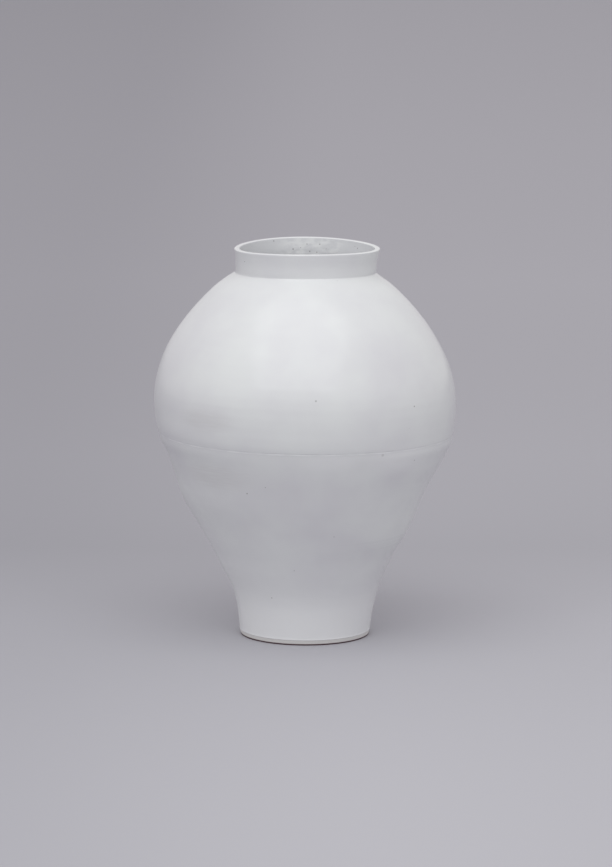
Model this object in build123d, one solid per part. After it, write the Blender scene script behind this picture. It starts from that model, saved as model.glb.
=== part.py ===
from build123d import *
import os

# White porcelain moon jar: two thrown bowls luted rim to rim, a thrown collar luted on top, and clear glaze.
# Millimetres, +Z up. The origin is the centre of the foot ring, on the plane that the jar stands on.
# Outside sizes are measured on the glazed surface. A lean is how far a wall moves out as it climbs by one.

# Heights, each from the top of the one before it
foot_height = 50.0
lower_bowl_rise = 266.0
belly_rise = 45.0
shoulder_rise = 201.5
collar_height = 37.5

# Radii, and how far the wall stands out or in from them
foot_radius = 100.7
heel_flare = 5.4
belly_radius = 231.3
seam_inset = 5.4
collar_radius = 107.7
lip_flare = 3.6

# Leans of the wall
foot_lean = 0.07
heel_lean = 0.14
seam_lean = 0.36
shoulder_lean = -1.26
collar_lean = 0.04
lip_lean = 0.16

# How long each end of a wall keeps its lean, as shares of that wall's rise
foot_pull_shares = (0.35, 0.10)
lower_pull_shares = (0.18, 0.60)
belly_pull_shares = (0.20, 0.20)
shoulder_pull_shares = (0.23, 0.40)
collar_pull_shares = (0.33, 0.33)
throat_pull_shares = (0.40, 0.40)

# Clay thicknesses: the heel is left thick by the turning tool, the walls above it are thrown thinner
floor_wall = 14.0
heel_wall = 15.0
seam_wall = 9.0
belly_wall = 8.5
crown_wall = 8.0
collar_wall = 8.0

# Lip, measured over the glaze on both sides
lip_thickness = 8.0
lip_roll = 1.5

# Foot ring: bevelled outside, hollowed and glazed inside, wiped bare where it stands
bevel_width = 1.2
bevel_height = 8.0
ring_width = 14.0
ring_edge = 1.5
recess_depth = 13.0
recess_corner = 6.0
wiped_height = 4.0

# Inside bottom of the jar: how far it keeps level, as a share of its radius, and how far it
# keeps the wall's lean, as a share of its rise. A recess corner's pull makes it a quarter circle.
floor_level_share = 0.62
floor_lean_share = 0.75
corner_pull_share = 0.55

# Soft clay slip in the joints, wider inside at the seam where it is pressed in by hand, and the glaze film
seam_slip = 1.5
seam_slip_inside = 9.0
seam_bead = 2.0
neck_slip = 1.2
glaze = 0.5

heel_radius = foot_radius + heel_flare
seam_height = foot_height + lower_bowl_rise
seam_radius = belly_radius - seam_inset
seam_inner_radius = seam_radius - glaze - seam_wall
belly_height = seam_height + belly_rise
collar_foot = belly_height + shoulder_rise
jar_height = collar_foot + collar_height
lip_radius = collar_radius + lip_flare
lip_inner_radius = lip_radius - lip_thickness
lip_middle_radius = lip_radius - lip_thickness / 2
lip_start = jar_height - lip_roll
ring_radius = foot_radius - glaze - bevel_width
recess_radius = foot_radius - glaze - ring_width
floor_height = recess_depth + floor_wall


def at(radius, height):
    return Vector(radius, 0, height)


def leaning(lean, climb):
    return Vector(lean, 0, 1) * climb


def wall(start, start_pull, end, end_pull):
    """The four points of a smooth wall: its ends, and a handle along the wall's way at each."""
    return [start, start + start_pull, end - end_pull, end]


def rising(start, start_lean, end, end_lean, pull_shares):
    """A wall that climbs from start to end and leaves each end at its lean."""
    rise = end.Z - start.Z
    return wall(start, leaning(start_lean, rise * pull_shares[0]), end, leaning(end_lean, rise * pull_shares[1]))


def inside_of(points, start_depth, end_depth):
    """The same wall moved square to itself, to the left of its way, by a depth at each end."""
    start_way = points[1] - points[0]
    end_way = points[3] - points[2]
    start_move = Vector(-start_way.Z, 0, start_way.X).normalized() * start_depth
    end_move = Vector(-end_way.Z, 0, end_way.X).normalized() * end_depth
    return [points[0] + start_move, points[1] + start_move, points[2] + end_move, points[3] + end_move]


def curves(walls):
    return [Bezier(*points) for points in walls]


def straights(*corners):
    return [Line(a, b) for a, b in zip(corners, corners[1:])]


def turned(edges):
    """The solid that a closed section sweeps in one turn about the jar's axis."""
    return revolve(make_face(edges), Axis.Z)


# Glazed outside, foot to lip. A short straight crosses the seam between the two bowls.
seam_point = at(seam_radius, seam_height)
seam_half = leaning(seam_lean, seam_slip / 2)
foot_outside = rising(
    at(foot_radius, bevel_height), foot_lean, at(heel_radius, foot_height), heel_lean, foot_pull_shares
)
lower_outside = rising(
    at(heel_radius, foot_height), heel_lean, seam_point - seam_half, seam_lean, lower_pull_shares
)
belly_outside = rising(
    seam_point + seam_half, seam_lean, at(belly_radius, belly_height), 0, belly_pull_shares
)
shoulder_outside = rising(
    at(belly_radius, belly_height), 0, at(collar_radius, collar_foot), shoulder_lean, shoulder_pull_shares
)
collar_outside = rising(
    at(collar_radius, collar_foot), collar_lean, at(lip_radius, lip_start), lip_lean, collar_pull_shares
)

# Clay under the outer glaze. The collar's clay stands on the neck slip, above the shoulder's edge.
foot_clay = inside_of(foot_outside, glaze, glaze)
lower_clay = inside_of(lower_outside, glaze, glaze)
belly_clay = inside_of(belly_outside, glaze, glaze)
shoulder_clay = inside_of(shoulder_outside, glaze, glaze)
neck_edge = shoulder_clay[3]
collar_clay = rising(
    neck_edge + leaning(0, neck_slip), collar_lean, at(lip_radius - glaze, lip_start), lip_lean, collar_pull_shares
)

# Hollow side of the clay, from the middle of the floor to the lip
throat_radius = neck_edge.X - collar_wall
floor_centre = at(0, floor_height)
heel_inside = at(heel_radius - glaze - heel_wall, foot_height)
seam_inside = at(seam_inner_radius, seam_height)
seam_half_inside = leaning(seam_lean, seam_slip_inside / 2)
floor_inside = wall(
    floor_centre,
    at(heel_inside.X * floor_level_share, 0),
    heel_inside,
    leaning(heel_lean, (foot_height - floor_height) * floor_lean_share),
)
lower_inside = rising(heel_inside, heel_lean, seam_inside - seam_half_inside, seam_lean, lower_pull_shares)
belly_inside = rising(
    seam_inside + seam_half_inside,
    seam_lean,
    at(belly_radius - glaze - belly_wall, belly_height),
    0,
    belly_pull_shares,
)
shoulder_inside = inside_of(shoulder_outside, glaze + belly_wall, glaze + crown_wall)
throat_inside = rising(
    shoulder_inside[3], shoulder_lean, at(throat_radius, neck_edge.Z), 0, throat_pull_shares
)
collar_inside = rising(
    at(throat_radius, neck_edge.Z + neck_slip),
    collar_lean,
    at(lip_inner_radius + glaze, lip_start),
    lip_lean,
    collar_pull_shares,
)

# Surface of the inner glaze
floor_liner = inside_of(floor_inside, glaze, glaze)
lower_liner = inside_of(lower_inside, glaze, glaze)
belly_liner = inside_of(belly_inside, glaze, glaze)
shoulder_liner = inside_of(shoulder_inside, glaze, glaze)
throat_liner = inside_of(throat_inside, glaze, glaze)
collar_liner = inside_of(collar_inside, glaze, glaze)

# Hollow of the foot ring, from its side up and in to the jar's axis
recess_side = at(recess_radius, recess_depth - recess_corner)
recess_ceiling = at(recess_radius - recess_corner, recess_depth)
corner_pull = recess_corner * corner_pull_share
recess_turn = wall(recess_side, leaning(0, corner_pull), recess_ceiling, at(-corner_pull, 0))
recess_glaze_turn = inside_of(recess_turn, glaze, glaze)


def seam_nose(lower_end, upper_end, depth):
    """Rounded bead of slip that stands into the hollow along the seam."""
    return ThreePointArc(lower_end, at(seam_inner_radius - seam_bead - depth, seam_height), upper_end)


def lip_arc(outer_end, depth, inner_end):
    return ThreePointArc(outer_end, at(lip_middle_radius, jar_height - depth), inner_end)


def lower_bowl():
    """Thrown bowl with a turned foot ring. Its rim slopes down inwards to open the joint for slip."""
    foot_section = straights(
        at(0, floor_height),
        at(0, recess_depth),
        recess_ceiling,
    ) + straights(
        recess_side,
        at(recess_radius, ring_edge),
        at(recess_radius + ring_edge, 0),
        at(ring_radius, 0),
        foot_clay[0],
    )
    rim = straights(lower_clay[3], lower_inside[3])
    return turned(foot_section + rim + curves([recess_turn, foot_clay, lower_clay, lower_inside, floor_inside]))


def belly_joint_slip():
    """Luting slip that joins the two bowls, with the bead left along the inside of the seam."""
    section = straights(lower_inside[3], lower_clay[3], belly_clay[0], belly_inside[0])
    return turned(section + [seam_nose(lower_inside[3], belly_inside[0], 0)])


def upper_bowl():
    """Bowl turned upside down on the lower one, its floor cut away to make the neck opening."""
    rim = straights(belly_inside[0], belly_clay[0])
    neck_land = straights(neck_edge, throat_inside[3])
    return turned(rim + neck_land + curves([belly_clay, shoulder_clay, belly_inside, shoulder_inside, throat_inside]))


def neck_joint_slip():
    """Slip between the shoulder and the collar, sponged flush on both sides."""
    top = leaning(0, neck_slip)
    return turned(
        straights(neck_edge, throat_inside[3], throat_inside[3] + top, neck_edge + top, neck_edge)
    )


def neck_collar():
    """Short thrown collar with a rounded, slightly flared lip."""
    foot = straights(collar_clay[0], collar_inside[0])
    lip = [lip_arc(collar_clay[3], glaze, collar_inside[3])]
    return turned(foot + lip + curves([collar_clay, collar_inside]))


def outer_glaze():
    """Clear glaze from the foot's bevel, over both joints and the lip."""
    outside = curves([foot_outside, lower_outside, belly_outside, shoulder_outside, collar_outside])
    clay_side = curves([foot_clay, lower_clay, belly_clay, shoulder_clay, collar_clay])
    foot_edge = straights(foot_outside[0], foot_clay[0])
    seam = straights(lower_outside[3], belly_outside[0]) + straights(lower_clay[3], belly_clay[0])
    neck = straights(neck_edge, collar_clay[0])
    lip = [
        lip_arc(collar_outside[3], 0, collar_liner[3]),
        lip_arc(collar_clay[3], glaze, collar_inside[3]),
    ]
    lip_edge = straights(collar_liner[3], collar_inside[3])
    return turned(outside + clay_side + foot_edge + seam + neck + lip + lip_edge)


def inner_glaze():
    """Clear glaze poured round the inside, from the lip down over the whole floor."""
    surface = curves([floor_liner, lower_liner, belly_liner, shoulder_liner, throat_liner, collar_liner])
    clay_side = curves([floor_inside, lower_inside, belly_inside, shoulder_inside, throat_inside, collar_inside])
    centre = straights(floor_inside[0], floor_liner[0])
    seam = [
        seam_nose(lower_liner[3], belly_liner[0], glaze),
        seam_nose(lower_inside[3], belly_inside[0], 0),
    ]
    neck = straights(throat_liner[3], collar_liner[0]) + straights(throat_inside[3], collar_inside[0])
    lip_edge = straights(collar_liner[3], collar_inside[3])
    return turned(surface + clay_side + centre + seam + neck + lip_edge)


def foot_glaze():
    """Glaze inside the foot ring, wiped back from the edge that stands on the kiln shelf."""
    side = straights(
        recess_side,
        at(recess_radius, wiped_height),
        at(recess_radius - glaze, wiped_height),
        recess_glaze_turn[0],
    )
    ceiling = straights(
        recess_ceiling,
        at(0, recess_depth),
        at(0, recess_depth - glaze),
        recess_glaze_turn[3],
    )
    return turned(side + ceiling + curves([recess_turn, recess_glaze_turn]))


pieces = {
    "lower_bowl": lower_bowl(),
    "belly_joint_slip": belly_joint_slip(),
    "upper_bowl": upper_bowl(),
    "neck_joint_slip": neck_joint_slip(),
    "neck_collar": neck_collar(),
    "outer_glaze": outer_glaze(),
    "inner_glaze": inner_glaze(),
    "foot_glaze": foot_glaze(),
}

os.makedirs("parts", exist_ok=True)
for name, piece in pieces.items():
    export_step(piece, f"parts/{name}.step")
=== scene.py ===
import math
import bpy
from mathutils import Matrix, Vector, noise
from mathutils.geometry import interpolate_bezier


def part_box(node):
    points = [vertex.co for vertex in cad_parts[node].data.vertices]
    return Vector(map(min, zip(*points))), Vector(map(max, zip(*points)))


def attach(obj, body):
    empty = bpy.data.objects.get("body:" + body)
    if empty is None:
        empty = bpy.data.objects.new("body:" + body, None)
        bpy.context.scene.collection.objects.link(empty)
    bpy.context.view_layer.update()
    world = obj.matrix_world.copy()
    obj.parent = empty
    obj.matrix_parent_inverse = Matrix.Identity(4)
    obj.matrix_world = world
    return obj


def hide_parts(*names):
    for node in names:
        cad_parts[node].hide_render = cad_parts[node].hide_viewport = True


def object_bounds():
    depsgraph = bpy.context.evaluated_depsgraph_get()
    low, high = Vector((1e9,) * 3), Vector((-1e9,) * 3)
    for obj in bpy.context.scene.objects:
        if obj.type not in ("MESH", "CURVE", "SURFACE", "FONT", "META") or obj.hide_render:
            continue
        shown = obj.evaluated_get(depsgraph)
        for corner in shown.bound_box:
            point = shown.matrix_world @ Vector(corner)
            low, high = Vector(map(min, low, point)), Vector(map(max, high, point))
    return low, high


# White porcelain moon jar: two thrown bowls luted at the belly, a short thrown collar, and clear glaze.
# Lengths in the jar's dictionaries are millimetres.
# Those of the paper, light and camera are metres, Blender's own.
mm = 0.001
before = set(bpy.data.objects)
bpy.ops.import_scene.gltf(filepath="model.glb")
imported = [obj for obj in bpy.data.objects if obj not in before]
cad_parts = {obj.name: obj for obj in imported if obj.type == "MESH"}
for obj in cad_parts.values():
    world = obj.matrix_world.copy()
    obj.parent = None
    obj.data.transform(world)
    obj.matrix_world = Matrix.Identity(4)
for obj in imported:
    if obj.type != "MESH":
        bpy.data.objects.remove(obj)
solidLow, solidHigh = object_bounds()
print("frame loaded: the solids are", round(solidHigh.z / mm), "mm high")

# The turned shape, measured on the glazed surface, the same as the solids'. A lean is how far a wall moves
# out as it climbs by one, and pulls are how long each end of a wall keeps its lean, as shares of its rise.
jar = {
    "height": solidHigh.z / mm,
    "bellyRadius": solidHigh.x / mm,
    "seamRadius": 225.9,
    "heelRadius": 106.1,
    "footRadius": 100.7,
    "collarRadius": 107.7,
    "lipRadius": 111.3,
    "bevelHeight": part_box("outer_glaze")[0].z / mm,
    "heelHeight": 50.0,
    "seamHeight": 316.0,
    "bellyHeight": 361.0,
    "collarFoot": 562.5,
    "cornerSoft": 2.2,      # glaze fills the corner at the foot of the collar this far
    "lipThickness": 8.0,
    "lipRoll": 1.5,
    "glaze": 0.5,
    "contact": 0.05,        # glaze and clay keep this far to either side of the face that they share
    "leans": {"foot": 0.07, "heel": 0.14, "seam": 0.36, "belly": 0, "shoulder": -1.26, "collar": 0.04,
              "lip": 0.16},
    "pulls": {"foot": (0.35, 0.10), "lower": (0.18, 0.60), "belly": (0.20, 0.20), "shoulder": (0.23, 0.40),
              "throat": (0.40, 0.40), "collar": (0.33, 0.33)},
    "glazeTurns": 256,      # steps round the jar
    "clayTurns": 192,
    "coarseStep": 4.0,      # longest step up a wall
    "stepGrowth": 0.4,      # steps grow by this share of the way from a detail
    "clayStep": 6.0,
    "backStep": 8.0,
    "smoothAngle": 40.0,    # degrees; a sharper edge than this stays an edge
}
clay = {
    "floorHeight": 27.0,
    "floorLevel": 0.62,     # share of its radius for which the floor keeps level
    "floorLean": 0.75,      # share of its rise for which the floor's edge keeps the wall's lean
    "heelRadius": 90.6,
    "seamRadius": 216.4,
    "bellyWall": 8.5,
    "crownWall": 8.0,
    "collarWall": 8.0,
    "seamSlip": 1.5,
    "seamSlipInside": 9.0,
    "seamBead": 2.0,
    "neckSlip": 1.2,
    "ringRadius": 99.0,
    "ringInside": 86.2,
    "ringMiddle": 92.0,
    "ringEdge": 1.5,
    "ringEdgeMiddle": (0.5, 0.4),
    "ringRound": 0.9,
    "ringRoundMiddle": (-0.25, 0.25),
    "recessDepth": 13.0,
    "recessCorner": 6.0,
    "wipedHeight": 4.0,
}

# What the hands left in the wall. Clay and glaze move together, so one function bends every piece.
hand = {
    # height, shift to the right
    "wander": [(0, -0.8), (60, 0.5), (130, -1.4), (165, -0.4), (215, -4.2), (285, 1.8), (335, 0.0),
               (400, -1.2), (450, -2.2), (553, -1.7), (568, 0.4), (600, 2.3)],
    # height, outward at the left and right, outward at the front and back, width
    "swells": [(303, 2.2, 0.0, 9), (314, 0.0, -0.7, 12), (398, 0.0, 1.0, 22), (250, -1.5, -0.5, 20),
               (132, -1.7, -0.5, 16), (60, 0.8, 0.3, 14), (580, -0.6, -0.6, 11)],
    "seamTilt": 2.5,        # how much higher the seam stands at the left than at the front
    "seamTiltReach": 45.0,
    "slim": -0.5,
    "oval": 0.9,
    "ovalTurn": -45.0,      # degrees
    "rimPoint": 0.8,        # the rim comes to a slight point at the right
    "sag": 3.3,             # the collar has settled this much at its left and right
    "sagFrom": 535.0,
    "collarFrom": 553.0,    # the collar's own bends begin here and are full this much higher
    "collarOver": 15.0,
    "floorReach": 90.0,     # the bends fade towards the axis from this radius
    "rings": 0.05,          # left by the fingers as the jar was thrown
    "ringSpacing": 15.0,
    "ringPatch": 60.0,      # they come and go over this height
    "waves": 0.45,
    "waveSize": 110.0,
    "ripples": 0.04,
    "rippleSize": 40.0,
    "groove": 0.20,         # the closed joint line, and the slip wiped out just under it
    "grooveWidth": 0.65,
    "grooveReach": 6.0,     # no mark of the joint lies further from it than this
    "wipe": 0.14,
    "wipeDrop": 1.7,
    "wipeWidth": 1.1,
    "seamFront": -83.0,     # degrees; the joint line shows most here
    "seamReach": 26.0,
    "seamFaint": 0.25,      # share of it that is left elsewhere
    "dash": 9.0,
    "dashes": (0.5, 1.6),   # middle strength and swing, for the dashes and for longer stretches
    "stretches": (0.5, 1.2),
    "stretchTurns": 4,      # size of the noise that makes the stretches
    "strongest": 1.6,
    # pinholes where the liner boiled, inside the collar at the back
    "linerFrom": 570.0,
    "pits": 18,
    "pitTurnStep": 0.618,
    "pitRiseStep": 0.6494,
    "pitsFrom": 66.0,       # degrees
    "pitsTo": 104.0,
    "pitsLow": 577.5,
    "pitsHigh": 588.0,
    "pitDepth": 0.4,
    "pitBlister": -0.6,     # share of that depth, outwards, for a blister
    "pitWidth": 1.5,
    "pitSizes": (0.7, 0.35),    # share of that width for the smallest, and what each larger one adds
}


def between(pairs, height):
    # eases from one value to the next up the jar
    for (low, first), (high, second) in zip(pairs, pairs[1:]):
        if height <= high:
            share = min(max((height - low) / (high - low), 0), 1)
            return first + (second - first) * share * share * (3 - 2 * share)
    return pairs[-1][1]


def hump(distance, width):
    return math.exp(-((distance / width) ** 2))


def seamLine(height, angle):
    # depth of the joint line and of the wiped slip under it, broken into dashes round the jar
    above = height - jar["seamHeight"]
    if abs(above) > hand["grooveReach"]:
        return 0
    turn = (math.degrees(angle) - hand["seamFront"] + 180) % 360 - 180
    outward = Vector((math.cos(angle), math.sin(angle), 0))
    middle, swing = hand["dashes"]
    dashes = middle + swing * noise.noise(outward * jar["seamRadius"] / hand["dash"])
    middle, swing = hand["stretches"]
    stretches = middle + swing * noise.noise(outward * hand["stretchTurns"] + Vector((0, 0, 3)))
    shows = hand["seamFaint"] + (1 - hand["seamFaint"]) * hump(turn, hand["seamReach"])
    strength = shows * min(max(dashes + stretches, 0), hand["strongest"])
    line = -hand["groove"] * hump(above, hand["grooveWidth"])
    return strength * (line + hand["wipe"] * hump(above + hand["wipeDrop"], hand["wipeWidth"]))


def pinholes(height, angle):
    # small craters in three widths, spread over one patch of the liner
    # every fourth one is a blister that stands up
    depth = 0
    least, more = hand["pitSizes"]
    for count in range(hand["pits"]):
        turn = hand["pitsFrom"] + (hand["pitsTo"] - hand["pitsFrom"]) * (count * hand["pitTurnStep"] % 1)
        rise = hand["pitsLow"] + (hand["pitsHigh"] - hand["pitsLow"]) * (count * hand["pitRiseStep"] % 1)
        across = math.radians(turn - math.degrees(angle)) * jar["collarRadius"]
        width = hand["pitWidth"] * (least + count % 3 * more)
        sink = hand["pitDepth"] * (1 if count % 4 else hand["pitBlister"])
        depth += sink * hump(math.hypot(across, height - rise), width)
    return depth


def byHand(point):
    # from the turned shape to the jar that left the wheel, in millimetres
    angle = math.atan2(point.y, point.x)
    radius = math.hypot(point.x, point.y)
    height = point.z
    wallShare = min(radius / hand["floorReach"], 1)
    collarShare = min(max((height - hand["collarFrom"]) / hand["collarOver"], 0), 1)
    sagShare = min(max((height - hand["sagFrom"]) / (jar["collarFoot"] - hand["sagFrom"]), 0), 1)
    side = math.cos(angle)
    out = 0
    for middle, atSides, atFront, width in hand["swells"]:
        out += (atFront + (atSides - atFront) * side * side) * hump(height - middle, width)
    out += between(hand["wander"], height) * side * abs(side)
    out += hand["slim"] + hand["oval"] * math.cos(2 * (angle - math.radians(hand["ovalTurn"])))
    out += collarShare * hand["rimPoint"] * math.cos(3 * angle)
    out += hand["waves"] * noise.noise(point / hand["waveSize"])
    out += hand["ripples"] * noise.noise(point / hand["rippleSize"] + Vector((7, 3, 1)))
    patch = 0.6 + noise.noise(Vector((math.cos(angle), math.sin(angle), height / hand["ringPatch"])))
    ring = math.sin(2 * math.pi * height / hand["ringSpacing"] + angle)
    out += (1 - collarShare) * hand["rings"] * patch * ring
    out += seamLine(height, angle)
    if height > hand["linerFrom"] and radius < jar["collarRadius"] - clay["collarWall"] / 2:
        out += pinholes(height, angle)
    radius += out * wallShare
    tilt = hand["seamTilt"] * hump(height - jar["seamHeight"], hand["seamTiltReach"])
    sag = hand["sag"] * sagShare * sagShare * (3 - 2 * sagShare)
    height -= (tilt * side + sag * side * side) * wallShare
    return Vector((radius * side, radius * math.sin(angle), height))


def rising(start, startLean, end, endLean, pulls):
    # the four points of a wall that climbs from start to end and leaves each end at its lean
    rise = end.y - start.y
    afterStart = start + Vector((startLean, 1)) * rise * pulls[0]
    beforeEnd = end - Vector((endLean, 1)) * rise * pulls[1]
    return [start, afterStart, beforeEnd, end]


def leftOf(way, depth):
    return Vector((-way.y, way.x)).normalized() * depth


def insideOf(wall, startDepth, endDepth):
    # the same wall moved square to itself, to the left of its way
    atStart = leftOf(wall[1] - wall[0], startDepth)
    atEnd = leftOf(wall[3] - wall[2], endDepth)
    return [wall[0] + atStart, wall[1] + atStart, wall[2] + atEnd, wall[3] + atEnd]


def chords(wall, count=300):
    return interpolate_bezier(*wall, count)


def deeper(line, depth):
    # every point of a line moved square to it
    ways = [after - before for before, after in zip([line[0]] + line[:-1], line[1:] + [line[-1]])]
    return [point + leftOf(way, depth) for point, way in zip(line, ways)]


def atHeight(line, height):
    # the point where a line that climbs crosses a height
    for low, high in zip(line, line[1:]):
        if high.y >= height:
            return low.lerp(high, min(max((height - low.y) / max(high.y - low.y, 1e-9), 0), 1))
    return line[-1]


# where a wall is drawn in closer steps: height, how far the detail reaches, step
details = [
    (jar["seamHeight"], 4, 0.45),   # joint line
    (jar["collarFoot"], 0, 0.7),    # corner under the collar
    (583, 6, 1.2),                  # pinholes
]


def heights(low, high, coarse=jar["coarseStep"]):
    # heights to draw a wall through; the steps lengthen away from each detail
    rows, growth = [low], jar["stepGrowth"]
    while rows[-1] < high:
        steps = [max(fine, (abs(rows[-1] - middle) - reach) * growth) for middle, reach, fine in details]
        rows.append(rows[-1] + min(steps + [coarse]))
    rows[-1] = high
    return rows


def arc(centre, across, up, start, end, steps):
    # part of an ellipse, with angles in degrees from the outward side
    angles = [math.radians(start + (end - start) * step / steps) for step in range(steps + 1)]
    return [centre + Vector((across * math.cos(angle), up * math.sin(angle))) for angle in angles]


# The glazed outside, foot to lip
leans, pulls = jar["leans"], jar["pulls"]
footPoint = Vector((jar["footRadius"], jar["bevelHeight"]))
heelPoint = Vector((jar["heelRadius"], jar["heelHeight"]))
seamPoint = Vector((jar["seamRadius"], jar["seamHeight"]))
bellyPoint = Vector((jar["bellyRadius"], jar["bellyHeight"]))
collarPoint = Vector((jar["collarRadius"], jar["collarFoot"]))
lipStart = jar["height"] - jar["lipRoll"]
lipPoint = Vector((jar["lipRadius"], lipStart))
lipMiddle = Vector((jar["lipRadius"] - jar["lipThickness"] / 2, lipStart))
shoulderWall = rising(bellyPoint, leans["belly"], collarPoint, leans["shoulder"], pulls["shoulder"])
collarOutside = rising(collarPoint, leans["collar"], lipPoint, leans["lip"], pulls["collar"])
shoulder = [p for p in chords(shoulderWall) if (p - collarPoint).length > jar["cornerSoft"]]
collar = [p for p in chords(collarOutside) if (p - collarPoint).length > jar["cornerSoft"]]
outside = (
    chords(rising(footPoint, leans["foot"], heelPoint, leans["heel"], pulls["foot"]))
    + chords(rising(heelPoint, leans["heel"], seamPoint, leans["seam"], pulls["lower"]))[1:]
    + chords(rising(seamPoint, leans["seam"], bellyPoint, leans["belly"], pulls["belly"]))[1:]
    + shoulder[1:] + interpolate_bezier(shoulder[-1], collarPoint, collarPoint, collar[0], 20)[1:-1] + collar
)

# The hollow, on the clay: the floor by itself, then the wall up to the lip
neckPoint = collarPoint + leftOf(Vector((leans["shoulder"], 1)), jar["glaze"])
heelInside = Vector((clay["heelRadius"], jar["heelHeight"]))
seamInside = Vector((clay["seamRadius"], jar["seamHeight"]))
slipHalf = Vector((leans["seam"], 1)) * clay["seamSlipInside"] / 2
bellyInside = Vector((jar["bellyRadius"] - jar["glaze"] - clay["bellyWall"], jar["bellyHeight"]))
throatPoint = Vector((neckPoint.x - clay["collarWall"], neckPoint.y))
throatTop = throatPoint + Vector((0, clay["neckSlip"]))
lipInside = Vector((jar["lipRadius"] - jar["lipThickness"] + jar["glaze"], lipStart))
floorRise = jar["heelHeight"] - clay["floorHeight"]
floorWall = [
    Vector((0, clay["floorHeight"])),
    Vector((heelInside.x * clay["floorLevel"], clay["floorHeight"])),
    heelInside - Vector((leans["heel"], 1)) * floorRise * clay["floorLean"],
    heelInside,
]
crownWall = insideOf(shoulderWall, jar["glaze"] + clay["bellyWall"], jar["glaze"] + clay["crownWall"])
lowerInside = rising(heelInside, leans["heel"], seamInside - slipHalf, leans["seam"], pulls["lower"])
upperInside = rising(seamInside + slipHalf, leans["seam"], bellyInside, leans["belly"], pulls["belly"])
throatInside = rising(crownWall[3], leans["shoulder"], throatPoint, 0, pulls["throat"])
collarInside = rising(throatTop, leans["collar"], lipInside, leans["lip"], pulls["collar"])


def hollowFloor(depth):
    return deeper(chords(floorWall, 20), depth)


def hollowWall(depth):
    # climbs from the floor's edge to the lip, over the bead of slip along the seam
    bead = Vector((-clay["seamBead"] * 4 / 3, 0))
    low, high = seamInside - slipHalf, seamInside + slipHalf
    nose = [low, low + bead, high + bead, high]
    line = chords(lowerInside) + chords(nose, 30)[1:-1] + chords(upperInside) + chords(crownWall)[1:]
    line += chords(throatInside, 40)[1:] + chords(collarInside)
    return deeper(line, depth)


def throwPiece(name, outline, turns):
    # draws the section point by point, turns it about the axis, closes it and bends it by hand
    last = outline[0]
    bpy.ops.object.select_all(action="DESELECT")
    bpy.ops.mesh.primitive_plane_add(size=mm, location=(last.x * mm, 0, last.y * mm))
    piece = bpy.context.object
    piece.name = piece.data.name = name
    bpy.ops.object.mode_set(mode="EDIT")
    bpy.ops.mesh.merge(type="CENTER")
    for point in outline[1:]:
        move = (point - last) * mm
        bpy.ops.mesh.extrude_region_move(TRANSFORM_OT_translate={"value": (move.x, 0, move.y)})
        last = point
    bpy.ops.mesh.select_all(action="SELECT")
    bpy.ops.mesh.spin(steps=turns, angle=2 * math.pi, center=(0, 0, 0), axis=(0, 0, 1))
    bpy.ops.mesh.select_all(action="SELECT")
    bpy.ops.mesh.remove_doubles(threshold=0.01 * mm)
    bpy.ops.mesh.normals_make_consistent(inside=False)
    bpy.ops.object.mode_set(mode="OBJECT")
    bpy.ops.object.transform_apply(location=True, rotation=True, scale=True)
    for vertex in piece.data.vertices:
        vertex.co = byHand(vertex.co / mm) * mm
    bpy.ops.object.shade_smooth_by_angle(angle=math.radians(jar["smoothAngle"]))
    print(name, "thrown:", len(piece.data.vertices), "points")
    return piece


def place(piece, nodeName, material):
    # gives the piece its material and lets it stand for the CAD node
    piece.data.materials.append(material)
    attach(piece, "root")
    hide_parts(nodeName)


# Colours and nodes
def linear(code):
    parts = [int(code[i:i + 2], 16) / 255 for i in (1, 3, 5)]
    return [p / 12.92 if p <= 0.04045 else ((p + 0.055) / 1.055) ** 2.4 for p in parts] + [1]


def addNode(tree, kind, values=None, links=None, **settings):
    made = tree.nodes.new(kind)
    for name, value in settings.items():
        setattr(made, name, value)
    for name, value in (values or {}).items():
        made.inputs[name].default_value = value
    for name, socket in (links or {}).items():
        tree.links.new(socket, made.inputs[name])
    return made


def startMaterial(name):
    material = bpy.data.materials.new(name)
    material.use_nodes = True
    tree = material.node_tree
    coords = addNode(tree, "ShaderNodeTexCoord").outputs["Object"]
    return material, tree, tree.nodes["Principled BSDF"], coords


def mixColours(tree, share, first, second, blend="MIX"):
    # first and second are colours or sockets; share is a socket or a number
    mix = addNode(tree, "ShaderNodeMix", data_type="RGBA", blend_type=blend)
    for socket, value in ((mix.inputs[0], share), (mix.inputs[6], first), (mix.inputs[7], second)):
        if isinstance(value, bpy.types.NodeSocket):
            tree.links.new(value, socket)
        else:
            socket.default_value = value
    return mix.outputs[2]


def onJar(angle, height, line):
    # a place on the finished jar, from degrees round it and a height on a line of the section
    turn = math.radians(angle)
    radius = atHeight(line, height).x
    return byHand(Vector((radius * math.cos(turn), radius * math.sin(turn), height)))


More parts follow.
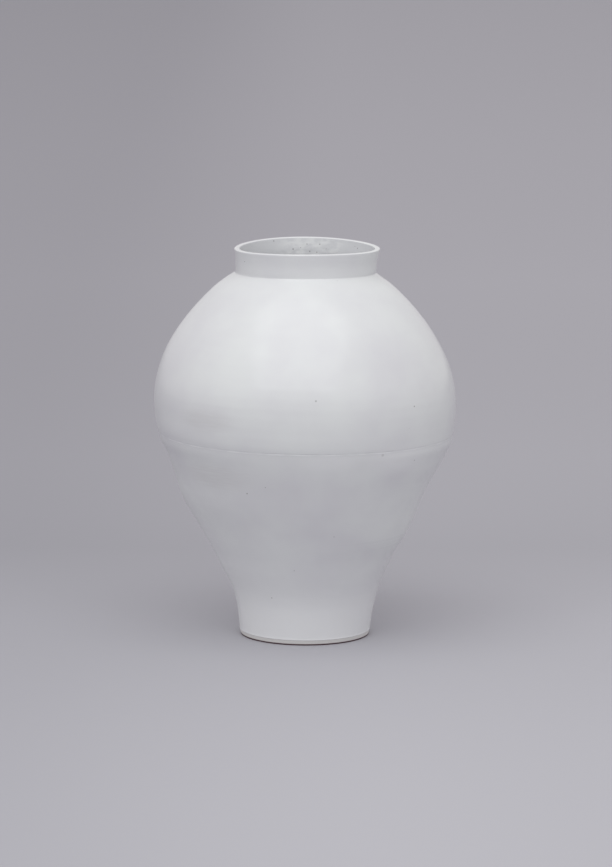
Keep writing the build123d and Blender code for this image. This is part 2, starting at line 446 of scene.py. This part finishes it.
outerFinish = {
    "white": "#e4e6e6",
    "shade": "#dcdcdf",
    # painted light: the foot drawn whiter low down, most of all at its left
    "thick": "#edeeef",
    "thickHeights": (5, 185),
    "thickLean": (0.22, 0, 1),
    "cloudSize": 130.0,
    "cloudEdge": (0.3, 0.7),
    "roughness": (0.19, 0.27),
    "ior": 1.5,
    "speckColour": "#6f6967",
    "speckCell": 26.0,
    "speckSize": 0.55,
    "speckEmpty": 0.6,      # share of the cells that have none
    "speckFull": 0.4,
    "speckShare": 0.7,
    "jointDash": 20.0,
    "jointBroken": (0.38, 0.64),
    "jointBack": 0.25,      # share of the line that is left at the sides and the back
    "jointSides": (100, -220),      # behind the axis, from where it is faint to where it is full
    # a dark line along the joint, partly a dark joint and partly painted shade in its groove, and a painted
    # highlight as a light edge under it: above the joint, half width, strength, colour
    "jointShadeAndHighlight": [(0.4, 0.45, 0.5, "#c3c2c7"), (-1.7, 0.55, 0.8, "#f8f9fa")],
    "trimHeights": (146, 172),      # fine lines from the turning tool show here
    # pattern size, then strength and depth of its relief
    "trimLine": 3.5,
    "trimStretch": 30,      # how many times longer than high the lines are
    "trimRelief": (0.6, 0.3),
    "orangePeel": 9.0,
    "peelRelief": (0.08, 0.2),
    "throwingLine": 3.5,
    "throwingStretch": 12,
    "throwingRelief": (0.08, 0.12),
    # the iron specks that show most: degrees round the jar, height, radius, strength
    "specks": [(-59, 311, 3.0, 0.3), (-42, 296, 1.1, 1), (-45, 379, 1.5, 1), (-116, 249, 1.4, 1),
               (-107, 261, 0.9, 1), (-86, 397, 2.0, 0.6), (-117, 74, 1.1, 1), (-97, 123, 0.9, 1),
               (-149, 585, 1.1, 1), (-75, 180, 0.9, 1)],
    # the same for wide low clouds of painted shade, streaked by the throwing lines, and for clouds of painted
    # light that whiten the glaze
    # painted shade: greyer clouds on the left of the belly
    "paintedShade": [(-131, 358, 68, 0.8), (-131, 270, 86, 0.8)],
    "paintedShadeColour": "#d9d9da",
    "paintedShadeFull": 0.3,
    "paintedShadeStreaks": (0.3, 0.6),
    "paintedShadeLeast": 0.35,
    "cloudFlat": 2.8,       # how many times wider than high a cloud is
    # painted light: whiter clouds on the belly round the joint's height
    "paintedLight": [(-151, 343, 70, 0.5), (-50, 302, 80, 1.0), (-80, 304, 60, 0.7)],
    "paintedLightColour": "#e7e8e9",
    "paintedLightFull": 0.2,
}


def addDots(tree, coords, dots, line, full, flat=1, marks=None):
    # a mask of soft dots on a line of the section, joined to any marks that there are already
    # each dot: degrees round the jar, height, radius, strength; past full, a share of its radius, it fades
    squashed = addNode(tree, "ShaderNodeVectorMath", {1: (1, 1, flat)}, {0: coords}, operation="MULTIPLY")
    for angle, height, radius, strength in dots:
        centre = onJar(angle, height, line) * mm
        centre.z *= flat
        far = addNode(tree, "ShaderNodeVectorMath", {1: centre}, {0: squashed.outputs[0]},
                      operation="DISTANCE")
        dot = addNode(tree, "ShaderNodeMapRange",
                      {"From Min": radius * mm, "From Max": radius * full * mm, "To Max": strength},
                      {"Value": far.outputs["Value"]}, interpolation_type="SMOOTHSTEP")
        if marks is not None:
            dot = addNode(tree, "ShaderNodeMath", links={0: marks, 1: dot.outputs[0]}, operation="MAXIMUM")
        marks = dot.outputs[0]
    return marks


def glazedPorcelain(finish, name):
    # Clear lime glaze over white porcelain, fired in reduction. It gives the eye a milky cool white with slow
    # clouds of tone, a satin gloss that differs from place to place, and a scatter of tiny iron specks.
    material, tree, shader, coords = startMaterial(name)
    clouds = addNode(tree, "ShaderNodeTexNoise", {"Scale": 1 / (finish["cloudSize"] * mm), "Detail": 3},
                     {"Vector": coords})
    low, high = finish["cloudEdge"]
    cloudShare = addNode(tree, "ShaderNodeMapRange", {"From Min": low, "From Max": high},
                         {"Value": clouds.outputs["Fac"]}, interpolation_type="SMOOTHSTEP")
    colour = mixColours(tree, cloudShare.outputs[0], linear(finish["white"]), linear(finish["shade"]))
    spot = addNode(tree, "ShaderNodeSeparateXYZ", links={"Vector": coords})
    # painted light: the glaze is drawn whiter low on the foot, most of all at its left, where the foot
    # catches more light
    low, high = finish["thickHeights"]
    runs = addNode(tree, "ShaderNodeVectorMath", {1: finish["thickLean"]}, {0: coords},
                   operation="DOT_PRODUCT")
    thick = addNode(tree, "ShaderNodeMapRange", {"From Min": high * mm, "From Max": low * mm},
                    {"Value": runs.outputs["Value"]})
    colour = mixColours(tree, thick.outputs[0], colour, linear(finish["thick"]))
    # a tiny speck in some of the cells
    cells = addNode(tree, "ShaderNodeTexVoronoi", {"Scale": 1 / (finish["speckCell"] * mm)},
                    {"Vector": coords})
    lucky = addNode(tree, "ShaderNodeSeparateColor", links={"Color": cells.outputs["Color"]})
    size = addNode(tree, "ShaderNodeMapRange",
                   {"From Min": finish["speckEmpty"], "To Max": finish["speckSize"] / finish["speckCell"]},
                   {"Value": lucky.outputs[0]})
    speck = addNode(tree, "ShaderNodeMath", links={0: cells.outputs["Distance"], 1: size.outputs[0]},
                    operation="LESS_THAN")
    stretch = finish["throwingStretch"]
    stretched = addNode(tree, "ShaderNodeMapping", {"Scale": (1, 1, stretch)}, {"Vector": coords})
    lines = addNode(tree, "ShaderNodeTexNoise",
                    {"Scale": 1 / (finish["throwingLine"] * stretch * mm), "Detail": 2},
                    {"Vector": stretched.outputs[0]})
    # painted shade: wide greyer clouds on the left of the belly, streaked by the throwing lines
    paintedShade = addDots(tree, coords, finish["paintedShade"], outside, finish["paintedShadeFull"], finish["cloudFlat"])
    low, high = finish["paintedShadeStreaks"]
    streaks = addNode(tree, "ShaderNodeMapRange",
                      {"From Min": low, "From Max": high, "To Min": finish["paintedShadeLeast"]},
                      {"Value": lines.outputs["Fac"]})
    paintedShade = addNode(tree, "ShaderNodeMath", links={0: paintedShade, 1: streaks.outputs[0]}, operation="MULTIPLY")
    colour = mixColours(tree, paintedShade.outputs[0], colour, linear(finish["paintedShadeColour"]))
    # painted light: whiter clouds on the belly round the joint's height
    paintedLight = addDots(tree, coords, finish["paintedLight"], outside, finish["paintedLightFull"], finish["cloudFlat"])
    colour = mixColours(tree, paintedLight, colour, linear(finish["paintedLightColour"]))
    # the joint shows as broken lines that follow its slant, most of all at the front: a dark line of dirt and
    # painted shade, and a painted highlight under it
    slant = addNode(tree, "ShaderNodeVectorMath", {1: (hand["seamTilt"] / jar["seamRadius"], 0, 1)},
                    {0: coords}, operation="DOT_PRODUCT")
    low, high = finish["jointSides"]
    front = addNode(tree, "ShaderNodeMapRange",
                    {"From Min": low * mm, "From Max": high * mm, "To Min": finish["jointBack"]},
                    {"Value": spot.outputs["Y"]})
    low, high = finish["jointBroken"]
    for above, halfWidth, strength, tone in finish["jointShadeAndHighlight"]:
        # each line takes its dashes from another place in the noise
        moved = addNode(tree, "ShaderNodeVectorMath", {1: (0, above, 0)}, {0: coords})
        broken = addNode(tree, "ShaderNodeTexNoise", {"Scale": 1 / (finish["jointDash"] * mm), "Detail": 3},
                         {"Vector": moved.outputs[0]})
        dashes = addNode(tree, "ShaderNodeMapRange", {"From Min": low, "From Max": high},
                         {"Value": broken.outputs["Fac"]})
        away = addNode(tree, "ShaderNodeMath", {1: (jar["seamHeight"] + above) * mm, 2: halfWidth * mm},
                       {0: slant.outputs["Value"]}, operation="COMPARE")
        line = addNode(tree, "ShaderNodeMath", links={0: away.outputs[0], 1: dashes.outputs[0]},
                       operation="MULTIPLY")
        line = addNode(tree, "ShaderNodeMath", links={0: line.outputs[0], 1: front.outputs[0]},
                       operation="MULTIPLY")
        line = addNode(tree, "ShaderNodeMath", {1: strength}, {0: line.outputs[0]}, operation="MULTIPLY")
        colour = mixColours(tree, line.outputs[0], colour, linear(tone))
    marks = addDots(tree, coords, finish["specks"], outside, finish["speckFull"],
                    marks=speck.outputs[0])
    faded = addNode(tree, "ShaderNodeMath", {1: finish["speckShare"]}, {0: marks}, operation="MULTIPLY")
    colour = mixColours(tree, faded.outputs[0], colour, linear(finish["speckColour"]))
    tree.links.new(colour, shader.inputs["Base Color"])
    low, high = finish["cloudEdge"]
    smooth, rough = finish["roughness"]
    gloss = addNode(tree, "ShaderNodeMapRange",
                    {"From Min": low, "From Max": high, "To Min": smooth, "To Max": rough},
                    {"Value": clouds.outputs["Fac"]}, interpolation_type="SMOOTHSTEP")
    tree.links.new(gloss.outputs[0], shader.inputs["Roughness"])
    peel = addNode(tree, "ShaderNodeTexNoise", {"Scale": 1 / (finish["orangePeel"] * mm)}, {"Vector": coords})
    strength, depth = finish["throwingRelief"]
    relief = addNode(tree, "ShaderNodeBump", {"Strength": strength, "Distance": depth * mm},
                     {"Height": lines.outputs["Fac"]})
    strength, depth = finish["peelRelief"]
    relief = addNode(tree, "ShaderNodeBump", {"Strength": strength, "Distance": depth * mm},
                     {"Height": peel.outputs["Fac"], "Normal": relief.outputs[0]})
    low, high = finish["trimHeights"]
    middle, half = (low + high) / 2 * mm, (high - low) / 2 * mm
    away = addNode(tree, "ShaderNodeMath", {1: middle}, {0: spot.outputs["Z"]}, operation="SUBTRACT")
    away = addNode(tree, "ShaderNodeMath", links={0: away.outputs[0]}, operation="ABSOLUTE")
    band = addNode(tree, "ShaderNodeMapRange", {"From Min": half, "From Max": half * 0.5},
                   {"Value": away.outputs[0]})
    stretch = finish["trimStretch"]
    stretched = addNode(tree, "ShaderNodeMapping", {"Scale": (1, 1, stretch)}, {"Vector": coords})
    cuts = addNode(tree, "ShaderNodeTexNoise",
                   {"Scale": 1 / (finish["trimLine"] * stretch * mm), "Detail": 1},
                   {"Vector": stretched.outputs[0]})
    cuts = addNode(tree, "ShaderNodeMath", links={0: cuts.outputs["Fac"], 1: band.outputs[0]},
                   operation="MULTIPLY")
    strength, depth = finish["trimRelief"]
    relief = addNode(tree, "ShaderNodeBump", {"Strength": strength, "Distance": depth * mm},
                     {"Height": cuts.outputs[0], "Normal": relief.outputs[0]})
    tree.links.new(relief.outputs[0], shader.inputs["Normal"])
    shader.inputs["IOR"].default_value = finish["ior"]
    return material


linerFinish = {
    "white": "#d9dadd",
    "milky": "#e8e9ea",
    "poolSize": 14.0,
    "poolRun": 1.6,         # how much wider than high a pool is
    "poolPlace": (84, 584, 62, 0.8),    # degrees round the jar, height, radius, strength
    "poolFull": 0.5,
    "poolEdge": (0.42, 0.6),
    "pitSize": 2.6,
    "pitEdge": (0.1, 0.3),
    "pitRelief": (0.2, 0.2),        # strength and depth
    "roughness": 0.3,
    "ior": 1.5,
    # pinholes that burst and stayed open, their dark marks partly iron and partly painted shade inside the
    # craters: degrees round the jar, height, radius, strength
    "pinholes": [(100.7, 581.8, 1.9, 1), (88.5, 589.2, 1.3, 1), (77.1, 589.5, 1.5, 1), (86, 578, 1.5, 1),
                 (79.6, 577.2, 1.3, 1), (37.5, 589.7, 1.6, 1), (41, 592, 1.0, 1), (117.9, 596, 1.5, 1),
                 (94, 584, 0.9, 1), (71, 583, 0.9, 1)],
    "pinholeShadeColour": "#8f8c90",
    "pinholeShadeFull": 0.4,
    "pinholeShadeShare": 0.7,
}


def linerGlaze(finish):
    # Clear glaze poured round the inside. It gives the eye a greyer white, milky and pinholed in one place.
    material, tree, shader, coords = startMaterial("linerGlaze")
    runs = addNode(tree, "ShaderNodeMapping", {"Scale": (1, 1, finish["poolRun"])}, {"Vector": coords})
    pools = addNode(tree, "ShaderNodeTexNoise", {"Scale": 1 / (finish["poolSize"] * mm), "Detail": 3},
                    {"Vector": runs.outputs[0]})
    low, high = finish["poolEdge"]
    share = addNode(tree, "ShaderNodeMapRange", {"From Min": low, "From Max": high},
                    {"Value": pools.outputs["Fac"]})
    patch = addDots(tree, coords, [finish["poolPlace"]], hollowWall(jar["glaze"]), finish["poolFull"])
    patch = addNode(tree, "ShaderNodeMath", links={0: patch, 1: share.outputs[0]}, operation="MULTIPLY")
    colour = mixColours(tree, patch.outputs[0], linear(finish["white"]), linear(finish["milky"]))
    # dark marks at the open pinholes: partly iron, partly painted shade
    pinholeShade = addDots(tree, coords, finish["pinholes"], hollowWall(jar["glaze"]), finish["pinholeShadeFull"])
    faded = addNode(tree, "ShaderNodeMath", {1: finish["pinholeShadeShare"]}, {0: pinholeShade}, operation="MULTIPLY")
    colour = mixColours(tree, faded.outputs[0], colour, linear(finish["pinholeShadeColour"]))
    tree.links.new(colour, shader.inputs["Base Color"])
    pits = addNode(tree, "ShaderNodeTexVoronoi", {"Scale": 1 / (finish["pitSize"] * mm)}, {"Vector": coords})
    low, high = finish["pitEdge"]
    hole = addNode(tree, "ShaderNodeMapRange", {"From Min": low, "From Max": high},
                   {"Value": pits.outputs["Distance"]})
    strength, depth = finish["pitRelief"]
    relief = addNode(tree, "ShaderNodeBump", {"Strength": strength, "Distance": depth * mm},
                     {"Height": hole.outputs[0]})
    tree.links.new(relief.outputs[0], shader.inputs["Normal"])
    shader.inputs["Roughness"].default_value = finish["roughness"]
    shader.inputs["IOR"].default_value = finish["ior"]
    return material


biscuit = {
    "clay": "#e4e3e1",
    "grog": "#d8d6d3",
    "toastAndShade": "#48242f",
    "toastAndShadeHeight": 2.6,
    "toastAndShadeFull": 0.6,       # share of that height below which the band is at its darkest
    "grain": 0.9,
    "grainRelief": (0.4, 0.15),     # strength and depth
    "roughness": 0.85,
}


def bareClay(finish, name):
    # Unglazed high-fired porcelain. It gives the eye a dry warm grey, and a dark brown band low on the foot
    # that is partly toasted clay and partly painted contact shadow.
    material, tree, shader, coords = startMaterial(name)
    grain = addNode(tree, "ShaderNodeTexNoise", {"Scale": 1 / (finish["grain"] * mm), "Detail": 4},
                    {"Vector": coords})
    colour = mixColours(tree, grain.outputs["Fac"], linear(finish["clay"]), linear(finish["grog"]))
    height = addNode(tree, "ShaderNodeSeparateXYZ", links={"Vector": coords})
    # the dark band low on the foot: toasted clay, and painted contact shadow
    edge = finish["toastAndShadeHeight"] * mm
    toastedAndShaded = addNode(tree, "ShaderNodeMapRange", {"From Min": edge, "From Max": edge * finish["toastAndShadeFull"]},
                      {"Value": height.outputs["Z"]})
    colour = mixColours(tree, toastedAndShaded.outputs[0], colour, linear(finish["toastAndShade"]))
    tree.links.new(colour, shader.inputs["Base Color"])
    strength, depth = finish["grainRelief"]
    relief = addNode(tree, "ShaderNodeBump", {"Strength": strength, "Distance": depth * mm},
                     {"Height": grain.outputs["Fac"]})
    tree.links.new(relief.outputs[0], shader.inputs["Normal"])
    shader.inputs["Roughness"].default_value = finish["roughness"]
    return material


clearGlaze = glazedPorcelain(outerFinish, "clearGlazeOverPorcelain")
liner = linerGlaze(linerFinish)
bisque = bareClay(biscuit, "bareFiredPorcelain")
slip = bareClay(biscuit, "firedLutingSlip")
print("materials mixed")

# Clay pieces: their faces under the glaze lie a little deeper than the glaze's own
under = jar["glaze"] + jar["contact"]
skin = deeper(outside, under)
core = hollowWall(-jar["contact"])
coreFloor = hollowFloor(-jar["contact"])
seamLow = jar["seamHeight"] - clay["seamSlip"] / 2
seamHigh = jar["seamHeight"] + clay["seamSlip"] / 2
seamInLow = jar["seamHeight"] - clay["seamSlipInside"] / 2
seamInHigh = jar["seamHeight"] + clay["seamSlipInside"] / 2


def along(line, low, high, coarse=jar["coarseStep"]):
    return [atHeight(line, height) for height in heights(low, high, coarse)]


recessTop = Vector((clay["ringInside"] - clay["recessCorner"], clay["recessDepth"] - clay["recessCorner"]))
recessTurn = arc(recessTop, clay["recessCorner"], clay["recessCorner"], 0, 90, 8)
ringOut = Vector((clay["ringRadius"], 0))
ringIn = Vector((clay["ringInside"], 0))
footUnder = [Vector((0, clay["recessDepth"]))] + recessTurn[::-1]
footUnder += [ringIn + Vector((0, clay["wipedHeight"])), ringIn + Vector((0, clay["ringEdge"])),
              ringIn + Vector(clay["ringEdgeMiddle"]), ringIn + Vector((clay["ringEdge"], 0))]
footUnder += [Vector((clay["ringMiddle"], 0)), ringOut - Vector((clay["ringRound"], 0)),
              ringOut + Vector(clay["ringRoundMiddle"]), ringOut + Vector((0, clay["ringRound"]))]
lowerSection = (
    footUnder + along(skin, jar["bevelHeight"], seamLow, jar["clayStep"])
    + along(core, jar["heelHeight"], seamInLow, jar["clayStep"])[::-1] + coreFloor[::-1][1:]
)
lowerBowl = throwPiece("lowerBowl", lowerSection, jar["clayTurns"])
place(lowerBowl, "lower_bowl", bisque)

upperSection = (
    along(skin, seamHigh, neckPoint.y, jar["clayStep"])
    + along(core, seamInHigh, throatPoint.y, jar["clayStep"])[::-1]
)
upperBowl = throwPiece("upperBowl", upperSection + upperSection[:1], jar["clayTurns"])
place(upperBowl, "upper_bowl", bisque)

neckFoot = neckPoint.y + clay["neckSlip"]
lipClay = arc(lipMiddle, jar["lipThickness"] / 2 - under, jar["lipRoll"] - under, 0, 180, 12)
collarSection = along(skin, neckFoot, lipStart) + lipClay[1:-1] + along(core, neckFoot, lipStart)[::-1]
neckCollar = throwPiece("neckCollar", collarSection + collarSection[:1], jar["clayTurns"])
place(neckCollar, "neck_collar", bisque)

slipSection = along(skin, seamLow, seamHigh) + along(core, seamInLow, seamInHigh)[::-1]
bellyJointSlip = throwPiece("bellyJointSlip", slipSection + slipSection[:1], jar["clayTurns"])
place(bellyJointSlip, "belly_joint_slip", slip)

neckSection = along(skin, neckPoint.y, neckFoot) + along(core, neckPoint.y, neckFoot)[::-1]
neckJointSlip = throwPiece("neckJointSlip", neckSection + neckSection[:1], jar["clayTurns"])
place(neckJointSlip, "neck_joint_slip", slip)

# Glaze films. The outer one ends in a rolled bead above the foot's bevel.
# The film's own face starts this far above the bevel outside and at the back of the bead.
roll = {"radius": 0.8, "inset": 0.55, "rise": 0.5, "from": -165, "to": 30, "face": 3.0, "back": 0.2}
film = jar["glaze"] - jar["contact"]
rollCentre = footPoint + Vector((-roll["inset"], roll["rise"]))
bead = arc(rollCentre, roll["radius"], roll["radius"], roll["from"], roll["to"], 8)
lipTop = arc(lipMiddle, jar["lipThickness"] / 2, jar["lipRoll"], 0, 180, 16)
lipUnder = arc(lipMiddle, jar["lipThickness"] / 2 - film, jar["lipRoll"] - film, 0, 180, 10)
back = deeper(outside, film)
outerSection = (
    bead + along(outside, jar["bevelHeight"] + roll["face"], lipStart) + lipTop[1:] + lipUnder[::-1]
    + along(back, jar["bevelHeight"] + roll["back"], lipStart, jar["backStep"])[::-1][1:]
)
outerGlaze = throwPiece("outerGlaze", outerSection + outerSection[:1], jar["glazeTurns"])
place(outerGlaze, "outer_glaze", clearGlaze)

surface = hollowFloor(jar["glaze"]) + along(hollowWall(jar["glaze"]), jar["heelHeight"], lipStart)[1:]
behind = hollowFloor(jar["contact"])
behind += along(hollowWall(jar["contact"]), jar["heelHeight"], lipStart, jar["backStep"])[1:]
innerGlaze = throwPiece("innerGlaze", surface + behind[::-1], jar["glazeTurns"])
place(innerGlaze, "inner_glaze", liner)

# The glaze in the foot's recess, with its wiped edge rounded off
wiped = {"round": 0.3, "back": 0.1}
glazedCorner = clay["recessCorner"] - jar["glaze"]
glazedTurn = arc(recessTop, glazedCorner, glazedCorner, 0, 90, 8)
wipedEdge = Vector((clay["ringInside"], clay["wipedHeight"]))
footFace = [Vector((0, clay["recessDepth"] - jar["glaze"]))] + glazedTurn[::-1]
footFace += [wipedEdge + Vector((-jar["glaze"], wiped["round"])), wipedEdge - Vector((wiped["round"], 0))]
footBack = [wipedEdge + Vector((-jar["contact"], wiped["back"]))]
footBack += [point - Vector((jar["contact"], jar["contact"])) for point in recessTurn]
footBack += [Vector((0, clay["recessDepth"] - jar["contact"]))]
footGlaze = throwPiece("footGlaze", footFace + footBack, jar["clayTurns"])
place(footGlaze, "foot_glaze", clearGlaze)

# Floor and backdrop in one sweep of grey paper
paper = {
    "size": 60.0,
    "gap": 0.0001,          # lies this far under the foot, so that the two faces don't fight
    # tone by the distance behind the jar: painted shade just behind it, painted light further back
    "paintedShadeTones": [(-0.5, "#b9b8be"), (0.1, "#bab9bf"), (0.7, "#b2b1b7"), (1.6, "#bab9bf"), (4.0, "#c2c1c7"),
              (7.0, "#c1c0c6"), (14.0, "#b9b8be")],
    "leftPaintedShade": "#efeff0",      # painted shade: multiplies the tone at the left
    "leftPaintedShadeFrom": 0.15,
    "leftPaintedShadeTo": -0.6,
    "roughness": 0.9,
    "specular": 0.2,
}


def paperSweep():
    # Matt studio paper: pale grey, with painted shade at the left and just behind the jar, and painted light
    # further back. From below it is clear.
    material, tree, shader, coords = startMaterial("studioPaper")
    spot = addNode(tree, "ShaderNodeSeparateXYZ", links={"Vector": coords})
    nearest, furthest = paper["paintedShadeTones"][0][0], paper["paintedShadeTones"][-1][0]
    depth = addNode(tree, "ShaderNodeMapRange", {"From Min": nearest, "From Max": furthest},
                    {"Value": spot.outputs["Y"]})
    ramp = addNode(tree, "ShaderNodeValToRGB", links={"Fac": depth.outputs[0]})
    for distance, code in paper["paintedShadeTones"][1:-1]:
        ramp.color_ramp.elements.new((distance - nearest) / (furthest - nearest))
    for element, (distance, code) in zip(ramp.color_ramp.elements, paper["paintedShadeTones"]):
        element.color = linear(code)
    # painted shade at the left
    share = addNode(tree, "ShaderNodeMapRange", {"From Min": paper["leftPaintedShadeFrom"], "From Max": paper["leftPaintedShadeTo"]},
                    {"Value": spot.outputs["X"]}, interpolation_type="SMOOTHSTEP")
    tone = mixColours(tree, share.outputs[0], ramp.outputs["Color"], linear(paper["leftPaintedShade"]), "MULTIPLY")
    tree.links.new(tone, shader.inputs["Base Color"])
    shader.inputs["Roughness"].default_value = paper["roughness"]
    shader.inputs["Specular IOR Level"].default_value = paper["specular"]
    facing = addNode(tree, "ShaderNodeNewGeometry").outputs["Backfacing"]
    clear = addNode(tree, "ShaderNodeBsdfTransparent")
    mix = addNode(tree, "ShaderNodeMixShader", links={0: facing, 1: shader.outputs[0], 2: clear.outputs[0]})
    tree.links.new(mix.outputs[0], tree.nodes["Material Output"].inputs["Surface"])
    return material


bpy.ops.object.select_all(action="DESELECT")
bpy.ops.mesh.primitive_plane_add(size=paper["size"], location=(0, 0, -paper["gap"]))
floor = bpy.context.object
floor.name = "studioFloor"
floor.data.materials.append(paperSweep())

# Light: one wide softbox, tilted from above the jar to well in front of it, and the room's own soft light
light = {
    "softboxPlace": (-0.20, -1.45, 2.60),
    "softboxAim": (0, 0, 0.40),
    "softboxSize": (3.2, 2.9),
    "softboxPower": 37.4,
    "softboxColour": "#fbfffd",
    "room": "#d6d4d6",
}


def addSoftbox(name, spot, aim, size, power, colour):
    bpy.ops.object.light_add(type="AREA", location=spot)
    lamp = bpy.context.object
    lamp.name = name
    lamp.rotation_euler = (Vector(aim) - Vector(spot)).to_track_quat("-Z", "Y").to_euler()
    lamp.data.shape = "RECTANGLE"
    lamp.data.size, lamp.data.size_y = size
    lamp.data.energy = power
    lamp.data.color = linear(colour)[:3]
    return lamp


addSoftbox("softbox", light["softboxPlace"], light["softboxAim"], light["softboxSize"], light["softboxPower"],
           light["softboxColour"])
room = bpy.data.worlds.new("room")
bpy.context.scene.world = room
room.use_nodes = True
room.node_tree.nodes["Background"].inputs["Color"].default_value = linear(light["room"])

# Camera: long lens, a little above the jar, level with the photograph's
camera = {"place": (0.0012, -7.26, 1.533), "tilt": 80.44, "lens": 199.87, "sensor": 36}
bpy.ops.object.camera_add(location=camera["place"], rotation=(math.radians(camera["tilt"]), 0, 0))
bpy.context.scene.camera = bpy.context.object
bpy.context.object.data.lens = camera["lens"]
bpy.context.object.data.sensor_width = camera["sensor"]
bpy.context.scene.view_settings.view_transform = "Standard"
print("stage, light and camera set")
